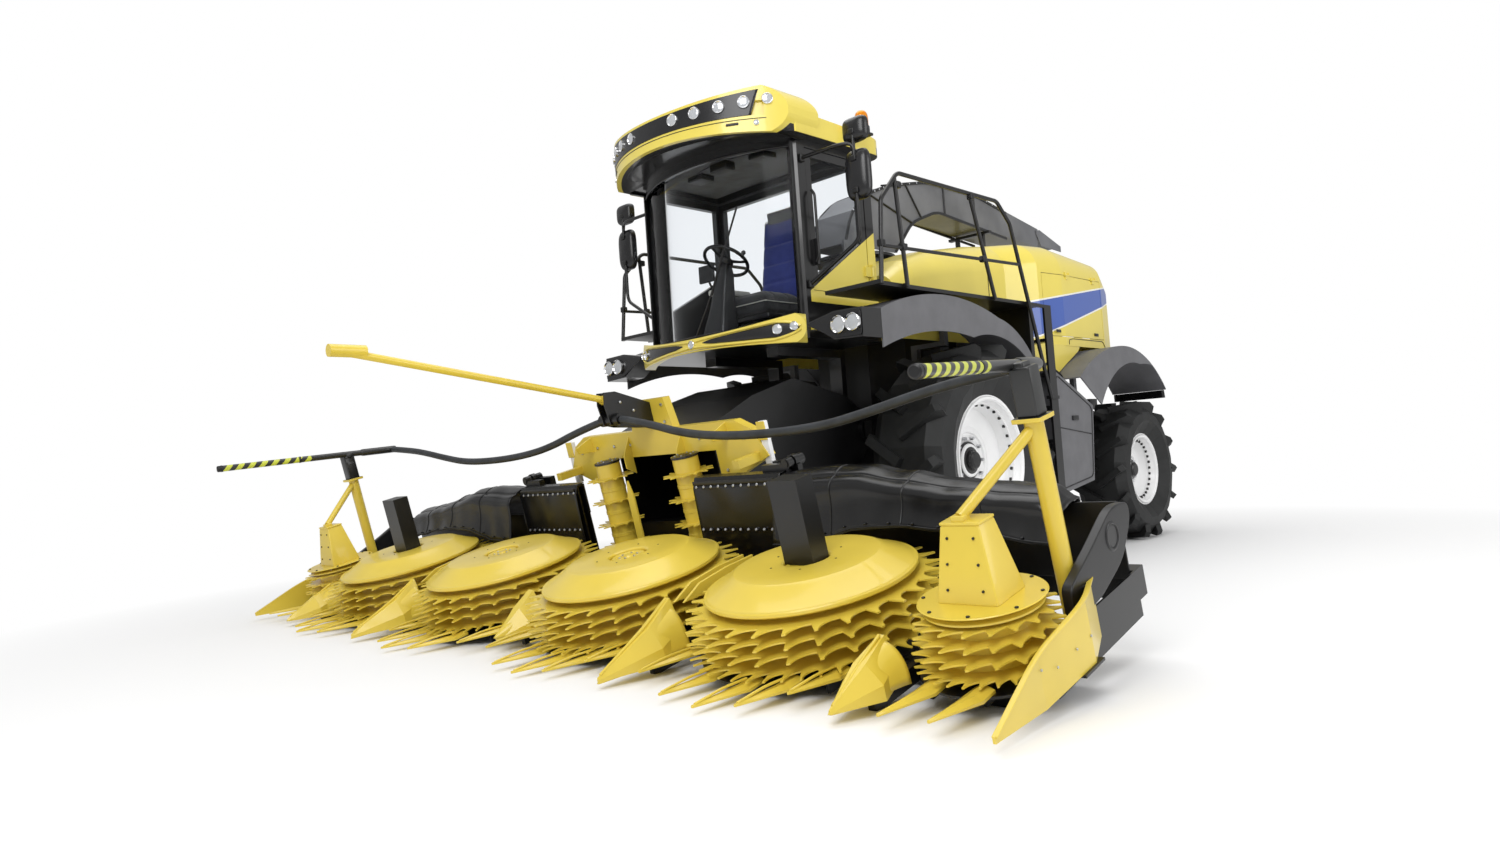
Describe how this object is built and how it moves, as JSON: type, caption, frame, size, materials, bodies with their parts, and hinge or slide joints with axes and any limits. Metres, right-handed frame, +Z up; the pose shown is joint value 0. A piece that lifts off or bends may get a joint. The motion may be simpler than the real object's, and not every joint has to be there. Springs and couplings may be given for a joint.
{
  "type": "forage harvester",
  "caption": "Self-propelled forage harvester with cab, crop spout, large front drive wheels, steered rear wheels and a folding rotary maize header with toothed drums.",
  "frame": {"origin": "centre of the whole machine's footprint box, on the ground", "axes": "+X to the machine's left, -Y its front, +Z up"},
  "size_m": [7.498, 9.01, 3.9274],
  "materials": {
    "tyre": "deep chevron tread rubber",
    "rim": "white gloss paint",
    "frame": "satin black paint",
    "yellow": "gloss yellow paint",
    "hood_yellow": "gloss yellow moulded panel",
    "fender": "dark grey moulded plastic",
    "black_plastic": "satin black moulded plastic",
    "glass": "clear safety glass",
    "interior": "dark seat cloth and trim",
    "rubber": "black rubber",
    "steel": "worn steel",
    "spout_grey": "dark grey painted sheet",
    "header_yellow": "golden yellow powder coat",
    "engine": "engine paint"
  },
  "bodies": {
    "chassis": {"main_frame": "frame", "front_axle": "frame", "rear_axle": "frame", "engine": "engine", "hood": "hood_yellow", "fenders": "fender", "service_boxes": "black_plastic", "walkways": "frame", "handrails": "frame", "cab_frame": "frame", "cab_glass": "glass", "cab_roof": "hood_yellow", "cab_bumper": "black_plastic", "mirrors": "black_plastic", "cab_interior": "interior", "spout_tower": "frame"},
    "cab_door": {"cab_door": "frame", "door_glass": "glass"},
    "hood_door_left": {"hood_door_left": "hood_yellow"},
    "hood_door_right": {"hood_door_right": "hood_yellow"},
    "spout_ring": {"spout_ring": "frame"},
    "spout": {"spout": "spout_grey"},
    "spout_flap": {"spout_flap": "black_plastic"},
    "header": {"feeder_house": "frame", "header_frame": "frame", "attachment_frame": "header_yellow", "header_covers": "rubber", "centre_points": "header_yellow", "boom_bracket": "frame", "hose_left": "rubber", "hose_right": "rubber"},
    "boom": {"boom": "header_yellow"},
    "front_wheel_left": {"front_tyre_left": "tyre", "front_rim_left": "rim"},
    "knuckle_left": {"knuckle_left": "frame"},
    "rear_wheel_left": {"rear_tyre_left": "tyre", "rear_rim_left": "rim"},
    "feed_drum_left": {"feed_drum_left": "header_yellow"},
    "centre_rotor_left": {"centre_rotor_left": "header_yellow"},
    "wing_left": {"wing_frame_left": "frame", "wing_points_left": "header_yellow", "wing_hood_left": "black_plastic", "guard_bar_left": "header_yellow"},
    "wing_rotor_left": {"wing_rotor_left": "header_yellow"},
    "end_rotor_left": {"end_rotor_left": "header_yellow"},
    "front_wheel_right": {"front_tyre_right": "tyre", "front_rim_right": "rim"},
    "knuckle_right": {"knuckle_right": "frame"},
    "rear_wheel_right": {"rear_tyre_right": "tyre", "rear_rim_right": "rim"},
    "feed_drum_right": {"feed_drum_right": "header_yellow"},
    "centre_rotor_right": {"centre_rotor_right": "header_yellow"},
    "wing_right": {"wing_frame_right": "frame", "wing_points_right": "header_yellow", "wing_hood_right": "black_plastic", "guard_bar_right": "header_yellow"},
    "wing_rotor_right": {"wing_rotor_right": "header_yellow"},
    "end_rotor_right": {"end_rotor_right": "header_yellow"}
  },
  "joints": [
    {"name": "front_wheel_left_spin", "type": "hinge", "parent": "chassis", "child": "front_wheel_left", "pos_m": [1.145, 0.405, 1], "axis": [1, 0, 0], "continuous": true},
    {"name": "steer_left", "type": "hinge", "parent": "chassis", "child": "knuckle_left", "pos_m": [0.735, 3.605, 0.75], "axis": [0, 0, 1], "range_deg": [-28, 28]},
    {"name": "rear_wheel_left_spin", "type": "hinge", "parent": "knuckle_left", "child": "rear_wheel_left", "pos_m": [1.165, 3.605, 0.75], "axis": [1, 0, 0], "continuous": true},
    {"name": "feed_drum_left_spin", "type": "hinge", "parent": "header", "child": "feed_drum_left", "pos_m": [0.455, -2.10852, 0.76853], "axis": [0, -0.2164, 0.9763], "continuous": true},
    {"name": "centre_rotor_left_spin", "type": "hinge", "parent": "header", "child": "centre_rotor_left", "pos_m": [0.75, -2.995, 0.572], "axis": [0, -0.2164, 0.9763], "continuous": true},
    {"name": "wing_left_fold", "type": "hinge", "parent": "header", "child": "wing_left", "pos_m": [1.5, -2.21161, 1.10417], "axis": [0, -0.9763, -0.2164], "range_deg": [0, 90], "deforming": ["hose_left"]},
    {"name": "wing_rotor_left_spin", "type": "hinge", "parent": "wing_left", "child": "wing_rotor_left", "pos_m": [2.25, -2.995, 0.572], "axis": [0, -0.2164, 0.9763], "continuous": true},
    {"name": "end_rotor_left_spin", "type": "hinge", "parent": "wing_left", "child": "end_rotor_left", "pos_m": [3.355, -3.14144, 0.53953], "axis": [0, -0.2164, 0.9763], "continuous": true},
    {"name": "hood_door_left_hinge", "type": "hinge", "parent": "chassis", "child": "hood_door_left", "pos_m": [1.25, 2.575, 2.777], "axis": [0, -1, 0], "range_deg": [0, 75]},
    {"name": "front_wheel_right_spin", "type": "hinge", "parent": "chassis", "child": "front_wheel_right", "pos_m": [-1.145, 0.405, 1], "axis": [1, 0, 0], "continuous": true},
    {"name": "steer_right", "type": "hinge", "parent": "chassis", "child": "knuckle_right", "pos_m": [-0.735, 3.605, 0.75], "axis": [0, 0, 1], "range_deg": [-28, 28]},
    {"name": "rear_wheel_right_spin", "type": "hinge", "parent": "knuckle_right", "child": "rear_wheel_right", "pos_m": [-1.165, 3.605, 0.75], "axis": [1, 0, 0], "continuous": true},
    {"name": "feed_drum_right_spin", "type": "hinge", "parent": "header", "child": "feed_drum_right", "pos_m": [-0.455, -2.10852, 0.76853], "axis": [0, -0.2164, 0.9763], "continuous": true},
    {"name": "centre_rotor_right_spin", "type": "hinge", "parent": "header", "child": "centre_rotor_right", "pos_m": [-0.75, -2.995, 0.572], "axis": [0, -0.2164, 0.9763], "continuous": true},
    {"name": "wing_right_fold", "type": "hinge", "parent": "header", "child": "wing_right", "pos_m": [-1.5, -2.21161, 1.10417], "axis": [0, 0.9763, 0.2164], "range_deg": [0, 90], "deforming": ["hose_right"]},
    {"name": "wing_rotor_right_spin", "type": "hinge", "parent": "wing_right", "child": "wing_rotor_right", "pos_m": [-2.25, -2.995, 0.572], "axis": [0, -0.2164, 0.9763], "continuous": true},
    {"name": "end_rotor_right_spin", "type": "hinge", "parent": "wing_right", "child": "end_rotor_right", "pos_m": [-3.355, -3.14144, 0.53953], "axis": [0, -0.2164, 0.9763], "continuous": true},
    {"name": "hood_door_right_hinge", "type": "hinge", "parent": "chassis", "child": "hood_door_right", "pos_m": [-1.25, 2.575, 2.777], "axis": [0, 1, 0], "range_deg": [0, 75]},
    {"name": "feeder_lift", "type": "hinge", "parent": "chassis", "child": "header", "pos_m": [0, -0.195, 1.33], "axis": [-1, 0, 0], "range_deg": [0, 12]},
    {"name": "boom_fold", "type": "hinge", "parent": "header", "child": "boom", "pos_m": [0, -2.535, 1.64], "axis": [-1, 0, 0], "range_deg": [0, 70]},
    {"name": "spout_turn", "type": "hinge", "parent": "chassis", "child": "spout_ring", "pos_m": [0, 0.565, 2.96], "axis": [0, 0, 1], "range_deg": [-105, 105]},
    {"name": "spout_lift", "type": "hinge", "parent": "spout_ring", "child": "spout", "pos_m": [0, 0.165, 3.055], "axis": [1, 0, 0], "range_deg": [0, 25]},
    {"name": "spout_flap_tilt", "type": "hinge", "parent": "spout", "child": "spout_flap", "pos_m": [0, 3.92, 3.64], "axis": [-1, 0, 0], "range_deg": [0, 60]},
    {"name": "cab_door_hinge", "type": "hinge", "parent": "chassis", "child": "cab_door", "pos_m": [0.919, -0.413, 2.9], "axis": [0, 0, 1], "range_deg": [0, 45]}
  ],
  "couplings": [
    {"joint": "steer_right", "follows": "steer_left", "ratio": 1}
  ]
}
